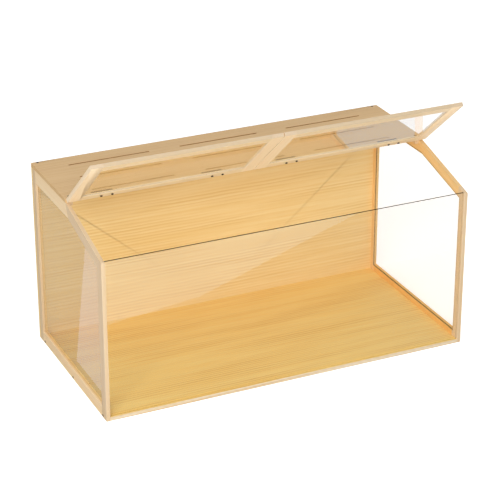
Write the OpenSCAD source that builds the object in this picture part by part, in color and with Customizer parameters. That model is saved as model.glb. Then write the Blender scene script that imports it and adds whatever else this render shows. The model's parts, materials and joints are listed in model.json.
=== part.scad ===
// Wooden hamster cage: a glazed wooden box whose roof slopes down to the front,
// with two glazed doors on the slope that turn up and back on butt hinges.
// X runs along the cage, Y runs from the front to the back, Z is up.
// The origin is on the ground, under the middle of the cage.

/* [Cage] */
// Length of the cage along X
cage_w = 1000; // [800:10:1300]
// Depth from the front posts to the outer face of the back panel
cage_d = 496; // [440:1:600]
// Height of the upper face of the top panel
cage_h = 500; // [440:1:640]
// Depth of the sloping part of the roof, from the front to the bend
slope_run = 240; // [190:1:290]
// Fall of the slope from the bend to the front
slope_drop = 61.5; // [35:0.5:100]

/* [Panels] */
// Thickness of the floor panel
floor_t = 10; // [8:0.5:16]
// Thickness of the back panel
back_t = 10; // [8:0.5:16]
// Thickness of the top panel
top_t = 10; // [8:0.5:16]
// Distance from the hinge axis back to the front edge of the top panel
top_edge_back = 0.65; // [0.3:0.05:1.5]
// Width of the strips that carry the ends of the top panel
cleat_w = 10; // [10:1:24]
// Height of the strips that carry the ends of the top panel
cleat_h = 10; // [10:1:20]

/* [Ventilation slots] */
// Width of a ventilation slot
slot_w = 5; // [3:0.5:9]
// Slots in each row
slot_cols = 3; // [1:1:5]
// Rows of slots
slot_rows = 3; // [2:1:4]
// Distance from an end of the panel to the first slot of a row
slot_end_gap = 82; // [40:1:130]
// Distance between the slots of a row
slot_gap = 85; // [30:1:110]
// Distance from the back edge to the middle of the rear row
slot_back_gap = 54; // [30:1:80]
// Distance from the front edge to the middle of the front row
slot_front_gap = 37; // [30:1:60]

/* [Side frames] */
// Thickness of the side frames
frame_t = 10; // [9:0.5:16]
// Width of the front posts
front_post_w = 30; // [26:1:44]
// Width of the back posts
back_post_w = 20; // [18:1:40]
// Height of the bottom rails
bottom_rail_h = 30; // [26:1:50]
// Height of the top rails
top_rail_h = 35; // [28:1:50]
// Width of the sloping rails, square to their length
slope_rail_w = 30; // [22:1:40]
// Thickness of the lip in front of a side pane
lip_t = 6; // [4:0.5:7]
// Width of the rebate for a side pane
rebate_w = 5; // [3:0.5:8]

/* [Panes] */
// Thickness of the side panes
side_pane_t = 3; // [2:0.5:4]
// Thickness of the front pane
front_pane_t = 3; // [2:0.5:5]
// Distance from the front of the posts to the middle of the front pane
front_pane_inset = 8.5; // [6:0.5:14]
// Depth of the grooves that hold the front pane
front_groove_d = 3; // [2:0.5:5]
// Distance from the slope down to the front edge of the front pane's top
front_pane_drop = 1.3; // [1:0.1:6]
// Thickness of the door panes
door_pane_t = 3; // [2:0.5:5]
// Distance from a door's inner face to its pane
door_pane_inset = 1.5; // [1.2:0.1:3]
// Depth of the grooves in the doors
door_groove_d = 6; // [4:0.5:9]

/* [Doors] */
// Thickness of the door frames
door_t = 10; // [9:0.5:15]
// Width of the doors' stiles
stile_w = 32; // [24:1:50]
// Width of the doors' hinge rails
hinge_rail_w = 28; // [24:1:50]
// Width of the bevel that falls to the pane on a hinge rail's outer face
rail_bevel_w = 10; // [6:0.5:12]
// Depth of that bevel at the pane
rail_bevel_d = 2.5; // [1:0.1:3]
// Width of the doors' free rails
free_rail_w = 28; // [24:1:50]
// Gap between the two doors
door_middle_gap = 3; // [1:0.5:8]
// Gap between a closed door and the sloping rails
door_seat_gap = 0.5; // [0.4:0.1:2]
// Gap between a closed door and the top panel
door_back_gap = 1.3; // [0.8:0.1:4]
// Distance from the front of the cage to a closed door's front edge
door_front_gap = 0.7; // [0:0.1:8]
// Angle at which the doors stand open, above the horizontal
door_open = 40.6; // [0:0.1:85]

/* [Hinges] */
// Distance from a door's outer edge to the middle of its outer hinge
hinge_outer_gap = 100; // [70:1:130]
// Distance from a door's inner edge to the middle of its inner hinge
hinge_inner_gap = 102; // [70:1:130]
// Length of a hinge
hinge_len = 56; // [44:1:76]
// Width of a leaf from the hinge axis
leaf_w = 20; // [17:0.5:24]
// Thickness of a leaf
leaf_t = 1.5; // [1:0.1:1.8]
// Radius of the barrel
barrel_r = 2.7; // [2.4:0.1:2.8]
// Radius of the hinge pin
pin_r = 1.5; // [1:0.05:1.7]
// Height of the hinge axis above the top panel and above the doors' outer faces
pin_h = 3; // [3:0.1:4]
// Knuckles on one hinge
knuckles = 5; // [3:2:7]
// Distance from the hinge axis to the holes of a leaf
leaf_hole_gap = 15; // [10:0.1:15.2]
// Distance between the two holes of a leaf
leaf_hole_span = 29; // [20:1:36]

/* [Screws and dowels] */
// Radius of the wood screws
screw_r = 1.75; // [1.25:0.05:2]
// Radius of the wood screws' countersunk heads
screw_head_r = 3.5; // [2.6:0.1:3.8]
// Length of the screws into the ends of the floor
floor_screw_len = 35; // [25:1:50]
// Distance from the front of the floor to its first screws
floor_screw_front = 26; // [20:1:60]
// Distance from the back of the floor to its last screws
floor_screw_back = 32; // [15:1:80]
// Length of the screws through the back panel
back_screw_len = 25; // [20:1:27]
// Height of the lowest screws in the back posts
post_screw_low = 60; // [40:1:90]
// Distance from the top of the back posts down to their last screws
post_screw_high = 60; // [40:1:90]
// Distance between the screws along the rear edge of the floor
floor_edge_pitch = 300; // [150:1:330]
// Length of the rear screws of the top panel
top_screw_len = 25; // [18:1:35]
// Distance from the ends of the top panel to its rear screws
top_screw_end = 16; // [14:1:40]
// Distance from the front edge of the top panel to its front screws
top_screw_front = 17; // [12:1:40]
// Radius of the screws and bolts of the hinges
hinge_screw_r = 1.5; // [1:0.1:1.6]
// Radius of the heads of the hinges' screws and bolts
hinge_head_r = 2.6; // [2:0.1:3]
// Height of the heads of the hinges' screws and bolts
hinge_head_h = 1.2; // [0.8:0.1:1.3]
// Width of the hinge bolts' nuts across their flats
nut_w = 5.5; // [4.5:0.1:7]
// Height of the hinge bolts' nuts
nut_h = 2.4; // [1.6:0.1:3]
// Length of a hinge bolt's end beyond its nut
bolt_end = 0.6; // [0.3:0.1:1.5]
// Radius of the dowels
dowel_r = 2.5; // [1.5:0.1:2.7]
// Length of the dowels
dowel_len = 24; // [16:1:28]

/* [Clearances] */
// Gap round a pane's edge in its rebate or groove
pane_play = 0.5; // [0.2:0.1:1]
// Gap on each side of a pane in its groove
groove_play = 0.3; // [0.1:0.1:0.8]
// Gap round a screw, a bolt or a dowel in its hole
hole_play = 0.1; // [0.05:0.05:0.2]
// Gap round a hinge pin in its knuckles
pin_play = 0.05; // [0.02:0.01:0.1]
// Gap between two knuckles
knuckle_gap = 0.3; // [0.2:0.1:0.6]
// Gap between a barrel and the other leaf or the door
barrel_room = 0.6; // [0.4:0.1:1.5]

/* [Hidden] */

// Sides of the cage
LEFT = -1;
RIGHT = 1;
// Colours
BOARD = [0.86, 0.74, 0.57];
FRAME = [0.83, 0.72, 0.58];
DOOR = [0.90, 0.80, 0.65];
ACRYLIC = [0.85, 0.92, 0.94, 0.35];
BRONZE = [0.24, 0.18, 0.13];
BEECH = [0.80, 0.66, 0.46];
// How far a cut runs past the face that it opens
cut = 1;
$fn = 48;

// Outer faces and the planes that the panels meet
half_w = cage_w / 2;
front_y = -cage_d / 2;
back_y = cage_d / 2;
floor_back = back_y - back_t;
frame_top = cage_h - top_t;
frame_in = half_w - frame_t;
frame_mid = half_w - frame_t / 2;

// The slope of the roof
bend_y = front_y + slope_run;
slope = atan(slope_drop / slope_run);
front_h = frame_top - slope_drop;

// Edges of the side openings
post_in = front_y + front_post_w;
back_in = floor_back - back_post_w;
// Height at y of a line that runs along the slope, square below it by drop
function slope_z(y, drop) = frame_top - drop / cos(slope) + tan(slope) * (y - bend_y);
// Where a line below the roof's flat part meets a line below its sloping part
function bend_at(flat_drop, drop) = bend_y + (drop / cos(slope) - flat_drop) / tan(slope);
bend_in = bend_at(top_rail_h, slope_rail_w);

// The hinge axis: a closed door clears the sloping rails and ends behind the front edge
pin_z = cage_h + pin_h;
pin_y = bend_y - ((door_t + door_seat_gap + pin_h) / cos(slope) - (top_t + pin_h)) / tan(slope);
top_front = pin_y + top_edge_back;
door_near = max(barrel_r + barrel_room,
    ((pin_h + door_t) * sin(slope) - top_edge_back + door_back_gap) / cos(slope));
door_far = (pin_y + pin_h * sin(slope) - front_y - door_front_gap) / cos(slope);
door_in = door_middle_gap / 2;
pane_near = door_near + hinge_rail_w;
pane_far = door_far - free_rail_w;

// Hinges
hinge_spots = [half_w - hinge_outer_gap, door_in + hinge_inner_gap];
leaf_start = barrel_r + barrel_room;
knuckle_len = (hinge_len - (knuckles - 1) * knuckle_gap) / knuckles;
pin_head_r = (pin_r + barrel_r) / 2;
pin_head_t = 0.8;
// Wood left under the tip of a hinge screw
screw_cover = 2;

// Front pane
front_pane_y = front_y + front_pane_inset;
groove_z = floor_t - front_groove_d;

// Slots of the top panel
slot_len = (cage_w - 2 * slot_end_gap - (slot_cols - 1) * slot_gap) / slot_cols;
slot_pitch = slot_len + slot_gap;
row_pitch = (back_y - slot_back_gap - top_front - slot_front_gap) / (slot_rows - 1);

// Screws
cross_w = 0.9;
cross_len = 3.6;
cross_d = 1;
screw_tip = 3;
floor_screw_rows = [
    front_y + floor_screw_front,
    (front_y + floor_screw_front + floor_back - floor_screw_back) / 2,
    floor_back - floor_screw_back
];
post_screw_rows = [
    post_screw_low,
    (post_screw_low + frame_top - post_screw_high) / 2,
    frame_top - post_screw_high
];
cleat_screw_len = top_t + cleat_h - screw_cover;

// Dowels of a side frame: the middle of each, in Y and Z, in the wood beside the rebate
solid_bottom = bottom_rail_h - rebate_w;
solid_top = top_rail_h - rebate_w;
solid_slope = slope_rail_w - rebate_w;
frame_dowel_spots = [
    [post_in, solid_bottom / 2],
    [back_in, solid_bottom / 2],
    [back_in, frame_top - solid_top / 2],
    [post_in, slope_z(post_in, solid_slope / 2)],
    [bend_y + (bend_in - bend_y) * solid_top / (2 * top_rail_h), frame_top - solid_top / 2]
];
door_dowel_rows = [
    door_near + (hinge_rail_w - door_groove_d) / 2,
    door_far - (free_rail_w - door_groove_d) / 2
];

// Outline of a side opening in Y and Z, grown outwards
function window(grow) = [
    [post_in - grow, bottom_rail_h - grow],
    [back_in + grow, bottom_rail_h - grow],
    [back_in + grow, frame_top - top_rail_h + grow],
    [bend_at(top_rail_h - grow, slope_rail_w - grow), frame_top - top_rail_h + grow],
    [post_in - grow, slope_z(post_in - grow, slope_rail_w - grow)]
];

// Puts what is drawn for the right side on the side that is asked for
module on_side(side) {
    if (side == LEFT)
        mirror([1, 0, 0]) children();
    else
        children();
}

// A slab from x0 to x1 over an outline in Y and Z
module yz_slab(points, x0, x1) {
    translate([x0, 0, 0])
        rotate([90, 0, 90])
            linear_extrude(x1 - x0)
                polygon(points);
}

// Turns a door from lying flat, in front of the hinge axis, to where it stands
module on_door() {
    translate([0, pin_y, pin_z])
        rotate([-door_open, 0, 0])
            children();
}

// Cross recess for a driver, its top at z = 0
module cross_recess() {
    for (turn = [0, 90])
        rotate([0, 0, turn])
            translate([-cross_len / 2, -cross_w / 2, -cross_d])
                cube([cross_len, cross_w, cross_d + cut]);
}

// A countersunk wood screw that points down, with its head flush at z = 0
module wood_screw(length) {
    head_h = screw_head_r - screw_r;
    difference() {
        union() {
            translate([0, 0, -head_h])
                cylinder(r1 = screw_r, r2 = screw_head_r, h = head_h);
            translate([0, 0, screw_tip - length])
                cylinder(r = screw_r, h = length - screw_tip - head_h);
            translate([0, 0, -length])
                cylinder(r1 = screw_r / 4, r2 = screw_r, h = screw_tip);
        }
        cross_recess();
    }
}

// The hole of a countersunk wood screw
module wood_screw_hole(length) {
    head_h = screw_head_r - screw_r;
    translate([0, 0, -length - hole_play])
        cylinder(r = screw_r + hole_play, h = length);
    translate([0, 0, -head_h])
        cylinder(r1 = screw_r + hole_play, r2 = screw_head_r + hole_play, h = head_h);
    cylinder(r = screw_head_r + hole_play, h = cut);
}

// Places a screw at each screw spot of one side of the floor, pointing inwards
module at_floor_screws() {
    for (y = floor_screw_rows)
        translate([half_w, y, floor_t / 2])
            rotate([0, 90, 0])
                children();
}

// Places a screw at each spot of the back panel, pointing to the front
module at_back_screws() {
    for (side = [LEFT, RIGHT], z = post_screw_rows)
        translate([side * frame_mid, back_y, z])
            rotate([-90, 0, 0])
                children();
    for (i = [-1, 0, 1])
        translate([i * floor_edge_pitch, back_y, floor_t / 2])
            rotate([-90, 0, 0])
                children();
}

// Places a screw at each rear spot of the top panel
module at_rear_top_screws() {
    for (side = [LEFT, RIGHT])
        translate([side * (half_w - top_screw_end), back_y - back_t / 2, cage_h])
            children();
}

// Places a screw at each front spot of the top panel, over the middle of a cleat
module at_front_top_screws() {
    for (side = [LEFT, RIGHT])
        translate([side * (frame_in - cleat_w / 2), top_front + top_screw_front, cage_h])
            children();
}

// Dowels of the right side frame, grown by play
module frame_dowels(play) {
    for (spot = frame_dowel_spots)
        translate([frame_mid, spot[0], spot[1]])
            rotate([90, 0, 0])
                cylinder(r = dowel_r + play, h = dowel_len + 2 * play, center = true);
}

// Dowels of the right door, grown by play
module door_dowels(play) {
    for (x = [door_in + stile_w, half_w - stile_w], u = door_dowel_rows)
        translate([x, -u, -pin_h - door_t / 2])
            rotate([0, 90, 0])
                cylinder(r = dowel_r + play, h = dowel_len + 2 * play, center = true);
}

// Panels

module floor_panel() {
    color(BOARD)
        difference() {
            translate([-frame_in, front_y, 0])
                cube([2 * frame_in, floor_back - front_y, floor_t]);
            front_pane_groove(frame_in + cut);
            for (side = [LEFT, RIGHT])
                on_side(side)
                    at_floor_screws()
                        wood_screw_hole(floor_screw_len);
            at_back_screws()
                wood_screw_hole(back_screw_len);
        }
}

module back_panel() {
    color(BOARD)
        difference() {
            translate([-half_w, floor_back, 0])
                cube([cage_w, back_t, frame_top]);
            at_back_screws()
                wood_screw_hole(back_screw_len);
            at_rear_top_screws()
                wood_screw_hole(top_screw_len);
        }
}

// One ventilation slot with round ends, centred on the origin
module vent_slot() {
    translate([0, 0, -cut])
        linear_extrude(top_t + 2 * cut) {
            square([slot_len - slot_w, slot_w], center = true);
            for (end = [-1, 1])
                translate([end * (slot_len - slot_w) / 2, 0])
                    circle(d = slot_w);
        }
}

module top_panel() {
    color(BOARD)
        difference() {
            translate([-half_w, top_front, frame_top])
                cube([cage_w, back_y - top_front, top_t]);
            for (col = [0 : slot_cols - 1], row = [0 : slot_rows - 1])
                translate([
                    (col - (slot_cols - 1) / 2) * slot_pitch,
                    back_y - slot_back_gap - row * row_pitch,
                    frame_top
                ])
                    vent_slot();
            at_rear_top_screws()
                wood_screw_hole(top_screw_len);
            at_front_top_screws()
                wood_screw_hole(cleat_screw_len);
            for (side = [LEFT, RIGHT])
                on_side(side)
                    at_hinges()
                        hinge_screw_holes();
        }
}

module top_cleat(side) {
    color(FRAME)
        difference() {
            on_side(side)
                translate([frame_in - cleat_w, bend_y, frame_top - cleat_h])
                    cube([cleat_w, floor_back - bend_y, cleat_h]);
            at_front_top_screws()
                wood_screw_hole(cleat_screw_len);
        }
}

module left_top_cleat() { top_cleat(LEFT); }
module right_top_cleat() { top_cleat(RIGHT); }

// Side frames

// One member of a side frame over its outline in Y and Z, with every cut that reaches it
module frame_member(side, points) {
    color(FRAME)
        difference() {
            on_side(side)
                difference() {
                    yz_slab(points, frame_in, half_w);
                    yz_slab(window(rebate_w), frame_in - cut, half_w - lip_t);
                    frame_dowels(hole_play);
                    at_floor_screws()
                        wood_screw_hole(floor_screw_len);
                }
            at_back_screws()
                wood_screw_hole(back_screw_len);
        }
}

module front_post(side) {
    difference() {
        frame_member(side, [
            [front_y, 0],
            [post_in, 0],
            [post_in, slope_z(post_in, 0)],
            [front_y, front_h]
        ]);
        front_pane_groove(frame_in + front_groove_d);
    }
}

module back_post(side) {
    frame_member(side, [
        [back_in, 0],
        [floor_back, 0],
        [floor_back, frame_top],
        [back_in, frame_top]
    ]);
}

module bottom_rail(side) {
    frame_member(side, [
        [post_in, 0],
        [back_in, 0],
        [back_in, bottom_rail_h],
        [post_in, bottom_rail_h]
    ]);
}

module top_rail(side) {
    frame_member(side, [
        [bend_in, frame_top - top_rail_h],
        [back_in, frame_top - top_rail_h],
        [back_in, frame_top],
        [bend_y, frame_top]
    ]);
}

module sloping_rail(side) {
    frame_member(side, [
        [post_in, slope_z(post_in, slope_rail_w)],
        [bend_in, frame_top - top_rail_h],
        [bend_y, frame_top],
        [post_in, slope_z(post_in, 0)]
    ]);
}

module left_front_post() { front_post(LEFT); }
module left_back_post() { back_post(LEFT); }
module left_bottom_rail() { bottom_rail(LEFT); }
module left_top_rail() { top_rail(LEFT); }
module left_sloping_rail() { sloping_rail(LEFT); }
module right_front_post() { front_post(RIGHT); }
module right_back_post() { back_post(RIGHT); }
module right_bottom_rail() { bottom_rail(RIGHT); }
module right_top_rail() { top_rail(RIGHT); }
module right_sloping_rail() { sloping_rail(RIGHT); }

// Panes

module side_pane(side) {
    color(ACRYLIC)
        on_side(side)
            yz_slab(window(rebate_w - pane_play), half_w - lip_t - side_pane_t, half_w - lip_t);
}

module left_side_pane() { side_pane(LEFT); }
module right_side_pane() { side_pane(RIGHT); }

// The groove round the front pane, reaching from the middle of the cage to reach on both sides
module front_pane_groove(reach) {
    width = front_pane_t + 2 * groove_play;
    translate([-reach, front_pane_y - width / 2, groove_z])
        cube([2 * reach, width, cage_h]);
}

module front_pane() {
    half_len = frame_in + front_groove_d - pane_play;
    pane_front = front_pane_y - front_pane_t / 2;
    color(ACRYLIC)
        translate([-half_len, pane_front, groove_z])
            cube([2 * half_len, front_pane_t, slope_z(pane_front, 0) - front_pane_drop - groove_z]);
}

// Doors, drawn lying flat for the right side, with the hinge axis along X through the origin

// A piece of a door from x0 to x1 and from near to far, as deep as the door
module door_box(x0, x1, near, far) {
    translate([x0, -far, -pin_h - door_t])
        cube([x1 - x0, far - near, door_t]);
}

// The pane of the right door, grown at its edges and on its faces
module door_pane_slab(edge, face) {
    bite = door_groove_d - pane_play + edge;
    translate([
        door_in + stile_w - bite,
        -pane_far - bite,
        -pin_h - door_t + door_pane_inset - face
    ])
        cube([
            half_w - door_in - 2 * stile_w + 2 * bite,
            pane_far - pane_near + 2 * bite,
            door_pane_t + 2 * face
        ]);
}

// What the bevel takes off a hinge rail from x0 to x1
module rail_bevel(x0, x1) {
    yz_slab([
        [-pane_near + rail_bevel_w, -pin_h],
        [-pane_near - rail_bevel_w, -pin_h - 2 * rail_bevel_d],
        [-pane_near - rail_bevel_w, -pin_h + cut],
        [-pane_near + rail_bevel_w, -pin_h + cut]
    ], x0 - cut, x1 + cut);
}

// One member of a door with its groove and its holes, where the door stands
module door_member(side, x0, x1, near, far, bevelled = false) {
    color(DOOR)
        on_side(side)
            on_door()
                difference() {
                    door_box(x0, x1, near, far);
                    door_pane_slab(pane_play, hole_play);
                    door_dowels(hole_play);
                    for (x = hinge_spots)
                        translate([x, 0, 0])
                            door_bolt_holes();
                    if (bevelled)
                        rail_bevel(x0, x1);
                }
}

module door_hinge_rail(side) {
    door_member(side, door_in + stile_w, half_w - stile_w, door_near, pane_near, bevelled = true);
}

module door_free_rail(side) {
    door_member(side, door_in + stile_w, half_w - stile_w, pane_far, door_far);
}

module door_outer_stile(side) {
    door_member(side, half_w - stile_w, half_w, door_near, door_far);
}

module door_inner_stile(side) {
    door_member(side, door_in, door_in + stile_w, door_near, door_far);
}

module door_pane(side) {
    color(ACRYLIC)
        on_side(side)
            on_door()
                door_pane_slab(0, 0);
}

module left_door_hinge_rail() { door_hinge_rail(LEFT); }
module left_door_free_rail() { door_free_rail(LEFT); }
module left_door_outer_stile() { door_outer_stile(LEFT); }
module left_door_inner_stile() { door_inner_stile(LEFT); }
module left_door_pane() { door_pane(LEFT); }
module right_door_hinge_rail() { door_hinge_rail(RIGHT); }
module right_door_free_rail() { door_free_rail(RIGHT); }
module right_door_outer_stile() { door_outer_stile(RIGHT); }
module right_door_inner_stile() { door_inner_stile(RIGHT); }
module right_door_pane() { door_pane(RIGHT); }

// Hinges, drawn round an axis along X through the origin

// Places a hinge at each hinge of the right side
module at_hinges() {
    for (x = hinge_spots)
        translate([x, pin_y, pin_z])
            children();
}

// Places what is drawn at the two holes of a leaf, at the top of the leaf
module at_leaf_holes(direction) {
    for (side = [LEFT, RIGHT])
        translate([side * leaf_hole_span / 2, direction * leaf_hole_gap, leaf_t - pin_h])
            children();
}

// A leaf on the side of the axis that direction gives, with every second knuckle from first on
module leaf(direction, first) {
    far = leaf_w - leaf_start;
    difference() {
        union() {
            translate([-hinge_len / 2, direction > 0 ? leaf_start : -leaf_w, -pin_h])
                cube([hinge_len, far, leaf_t]);
            for (k = [first : 2 : knuckles - 1])
                translate([k * (knuckle_len + knuckle_gap) - hinge_len / 2, 0, 0]) {
                    rotate([0, 90, 0])
                        cylinder(r = barrel_r, h = knuckle_len);
                    translate([0, direction > 0 ? 0 : -leaf_start, -pin_h])
                        cube([knuckle_len, leaf_start, leaf_t]);
                }
        }
        rotate([0, 90, 0])
            cylinder(r = pin_r + pin_play, h = hinge_len + 2 * cut, center = true);
        at_leaf_holes(direction)
            translate([0, 0, -leaf_t - cut])
                cylinder(r = hinge_screw_r + hole_play, h = leaf_t + 2 * cut);
    }
}

module fixed_leaf(side, spot) {
    color(BRONZE)
        on_side(side)
            translate([hinge_spots[spot], pin_y, pin_z])
                leaf(1, 0);
}

module moving_leaf(side, spot) {
    color(BRONZE)
        on_side(side)
            on_door()
                translate([hinge_spots[spot], 0, 0])
                    leaf(-1, 1);
}

module hinge_pin(side, spot) {
    color(BRONZE)
        on_side(side)
            translate([hinge_spots[spot], pin_y, pin_z])
                rotate([0, 90, 0]) {
                    cylinder(r = pin_r, h = hinge_len, center = true);
                    for (end = [-1, 1])
                        translate([0, 0, end * (hinge_len + pin_head_t) / 2])
                            cylinder(r = pin_head_r, h = pin_head_t, center = true);
                }
}

module left_outer_hinge_fixed_leaf() { fixed_leaf(LEFT, 0); }
module left_outer_hinge_moving_leaf() { moving_leaf(LEFT, 0); }
module left_outer_hinge_pin() { hinge_pin(LEFT, 0); }
module left_inner_hinge_fixed_leaf() { fixed_leaf(LEFT, 1); }
module left_inner_hinge_moving_leaf() { moving_leaf(LEFT, 1); }
module left_inner_hinge_pin() { hinge_pin(LEFT, 1); }
module right_inner_hinge_fixed_leaf() { fixed_leaf(RIGHT, 1); }
module right_inner_hinge_moving_leaf() { moving_leaf(RIGHT, 1); }
module right_inner_hinge_pin() { hinge_pin(RIGHT, 1); }
module right_outer_hinge_fixed_leaf() { fixed_leaf(RIGHT, 0); }
module right_outer_hinge_moving_leaf() { moving_leaf(RIGHT, 0); }
module right_outer_hinge_pin() { hinge_pin(RIGHT, 0); }

// Fasteners

// A pan head with its underside at z = 0
module pan_head() {
    difference() {
        union() {
            cylinder(r = hinge_head_r, h = hinge_head_h / 2);
            translate([0, 0, hinge_head_h / 2])
                cylinder(r1 = hinge_head_r, r2 = hinge_head_r * 0.75, h = hinge_head_h / 2);
        }
        translate([0, 0, hinge_head_h])
            scale(hinge_head_h / (2 * cross_d))
                cross_recess();
    }
}

module hinge_screw_holes() {
    at_leaf_holes(1)
        translate([0, 0, -leaf_t - top_t + screw_cover - hole_play])
            cylinder(r = hinge_screw_r + hole_play, h = top_t);
}

module door_bolt_holes() {
    at_leaf_holes(-1)
        translate([0, 0, -leaf_t - door_t - cut])
            cylinder(r = hinge_screw_r + hole_play, h = door_t + 2 * cut);
}

module hinge_screws(side) {
    depth = leaf_t + top_t - screw_cover;
    color(BRONZE)
        on_side(side)
            at_hinges()
                at_leaf_holes(1) {
                    pan_head();
                    translate([0, 0, screw_tip - depth])
                        cylinder(r = hinge_screw_r, h = depth - screw_tip);
                    translate([0, 0, -depth])
                        cylinder(r1 = hinge_screw_r / 4, r2 = hinge_screw_r, h = screw_tip);
                }
}

// A hexagon nut that points down, with its seat at z = 0
module hex_nut() {
    translate([0, 0, -nut_h])
        difference() {
            cylinder(d = nut_w / cos(30), h = nut_h, $fn = 6);
            translate([0, 0, -cut])
                cylinder(r = hinge_screw_r + hole_play, h = nut_h + 2 * cut);
        }
}

module door_nuts(side) {
    color(BRONZE)
        on_side(side)
            on_door()
                for (x = hinge_spots)
                    translate([x, 0, -leaf_t - door_t])
                        at_leaf_holes(-1)
                            hex_nut();
}

module door_bolts(side) {
    depth = leaf_t + door_t + nut_h + bolt_end;
    color(BRONZE)
        on_side(side)
            on_door()
                for (x = hinge_spots)
                    translate([x, 0, 0])
                        at_leaf_holes(-1) {
                            pan_head();
                            translate([0, 0, bolt_end / 2 - depth])
                                cylinder(r = hinge_screw_r, h = depth - bolt_end / 2);
                            translate([0, 0, -depth])
                                cylinder(r1 = hinge_screw_r / 2, r2 = hinge_screw_r, h = bolt_end / 2);
                        }
}

module floor_screws(side) {
    color(BRONZE)
        on_side(side)
            at_floor_screws()
                wood_screw(floor_screw_len);
}

module top_panel_screws() {
    color(BRONZE) {
        at_rear_top_screws()
            wood_screw(top_screw_len);
        at_front_top_screws()
            wood_screw(cleat_screw_len);
    }
}

module back_panel_screws() {
    color(BRONZE)
        at_back_screws()
            wood_screw(back_screw_len);
}

module frame_dowel_set(side) {
    color(BEECH)
        on_side(side)
            frame_dowels(0);
}

module door_dowel_set(side) {
    color(BEECH)
        on_side(side)
            on_door()
                door_dowels(0);
}

module left_floor_screws() { floor_screws(LEFT); }
module right_floor_screws() { floor_screws(RIGHT); }
module left_hinge_screws() { hinge_screws(LEFT); }
module right_hinge_screws() { hinge_screws(RIGHT); }
module left_door_bolts() { door_bolts(LEFT); }
module right_door_bolts() { door_bolts(RIGHT); }
module left_door_nuts() { door_nuts(LEFT); }
module right_door_nuts() { door_nuts(RIGHT); }
module left_frame_dowels() { frame_dowel_set(LEFT); }
module right_frame_dowels() { frame_dowel_set(RIGHT); }
module left_door_dowels() { door_dowel_set(LEFT); }
module right_door_dowels() { door_dowel_set(RIGHT); }

floor_panel();
back_panel();
top_panel();
left_top_cleat();
right_top_cleat();
left_front_post();
left_back_post();
left_bottom_rail();
left_top_rail();
left_sloping_rail();
right_front_post();
right_back_post();
right_bottom_rail();
right_top_rail();
right_sloping_rail();
left_side_pane();
right_side_pane();
front_pane();
left_door_hinge_rail();
left_door_free_rail();
left_door_outer_stile();
left_door_inner_stile();
left_door_pane();
right_door_hinge_rail();
right_door_free_rail();
right_door_outer_stile();
right_door_inner_stile();
right_door_pane();
left_outer_hinge_fixed_leaf();
left_outer_hinge_moving_leaf();
left_outer_hinge_pin();
left_inner_hinge_fixed_leaf();
left_inner_hinge_moving_leaf();
left_inner_hinge_pin();
right_inner_hinge_fixed_leaf();
right_inner_hinge_moving_leaf();
right_inner_hinge_pin();
right_outer_hinge_fixed_leaf();
right_outer_hinge_moving_leaf();
right_outer_hinge_pin();
left_floor_screws();
right_floor_screws();
top_panel_screws();
back_panel_screws();
left_hinge_screws();
right_hinge_screws();
left_door_bolts();
right_door_bolts();
left_door_nuts();
right_door_nuts();
left_frame_dowels();
right_frame_dowels();
left_door_dowels();
right_door_dowels();
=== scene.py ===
"""Looks of a wooden hamster cage: its finishes and clear panes, with the floor, lamps and camera."""

import json
import logging
import math
from dataclasses import dataclass, field, replace
from enum import Enum
from typing import Any, Union

import bmesh
import bpy
from mathutils import Euler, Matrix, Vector

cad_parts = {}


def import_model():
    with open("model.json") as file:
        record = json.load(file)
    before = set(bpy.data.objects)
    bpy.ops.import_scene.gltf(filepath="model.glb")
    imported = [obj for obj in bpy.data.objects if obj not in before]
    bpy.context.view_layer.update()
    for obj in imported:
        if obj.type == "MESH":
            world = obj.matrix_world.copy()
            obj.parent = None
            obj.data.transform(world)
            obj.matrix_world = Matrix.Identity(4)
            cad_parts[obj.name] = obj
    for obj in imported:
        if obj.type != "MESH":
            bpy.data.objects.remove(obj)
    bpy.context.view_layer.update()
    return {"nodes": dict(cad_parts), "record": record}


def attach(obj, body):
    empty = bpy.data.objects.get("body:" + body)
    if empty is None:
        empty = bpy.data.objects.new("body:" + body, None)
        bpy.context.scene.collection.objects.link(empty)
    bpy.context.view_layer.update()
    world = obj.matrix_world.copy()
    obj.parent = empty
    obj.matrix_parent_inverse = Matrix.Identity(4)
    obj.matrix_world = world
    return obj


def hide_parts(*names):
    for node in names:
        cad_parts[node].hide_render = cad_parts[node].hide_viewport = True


LOG = logging.getLogger("hamster_cage")

MM = 0.001
# The roof falls 61.5 mm over the 240 mm from its bend to the front
ROOF_SLOPE = math.atan2(61.5, 240.0)
# The doors stand this far above the horizontal
DOOR_STAND = math.radians(40.6)
# Vertices closer than this are one point
SAME_POINT = 0.01 * MM
# Edges of wood and metal that turn by more than this are broken
SHARP_TURN = math.radians(35)
# A broken edge has this many steps
BREAK_STEPS = 2
# The floor lies just under the cage, the dark flag just over the floor, and the cards over both
FLOOR_HEIGHT = -0.2 * MM
FLAG_HEIGHT = -0.1 * MM
CARD_HEIGHT = 0.5 * MM
WHITE = (1.0, 1.0, 1.0, 1.0)

Colour = tuple[float, float, float, float]
Triple = tuple[float, float, float]
Socket = bpy.types.NodeSocket
Value = Union[Socket, float, Colour, Vector]


def chip(red: int, green: int, blue: int) -> Colour:
    """Turns a colour chip into the linear colour that shaders take.

    Args:
        red: red from 0 to 255, as on a screen.
        green: green from 0 to 255, as on a screen.
        blue: blue from 0 to 255, as on a screen.

    Returns:
        The linear colour with an alpha of 1.
    """

    def linear(level: int) -> float:
        """One channel, from the screen's curve to linear light."""
        share = level / 255
        return share / 12.92 if share <= 0.04045 else ((share + 0.055) / 1.055) ** 2.4

    return (linear(red), linear(green), linear(blue), 1.0)


class Side(Enum):
    """The two ends of the cage, with the direction of each along X."""

    LEFT = -1
    RIGHT = 1

    @property
    def word(self) -> str:
        """The word that the names of this side's pieces start with."""
        return self.name.lower()


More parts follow.
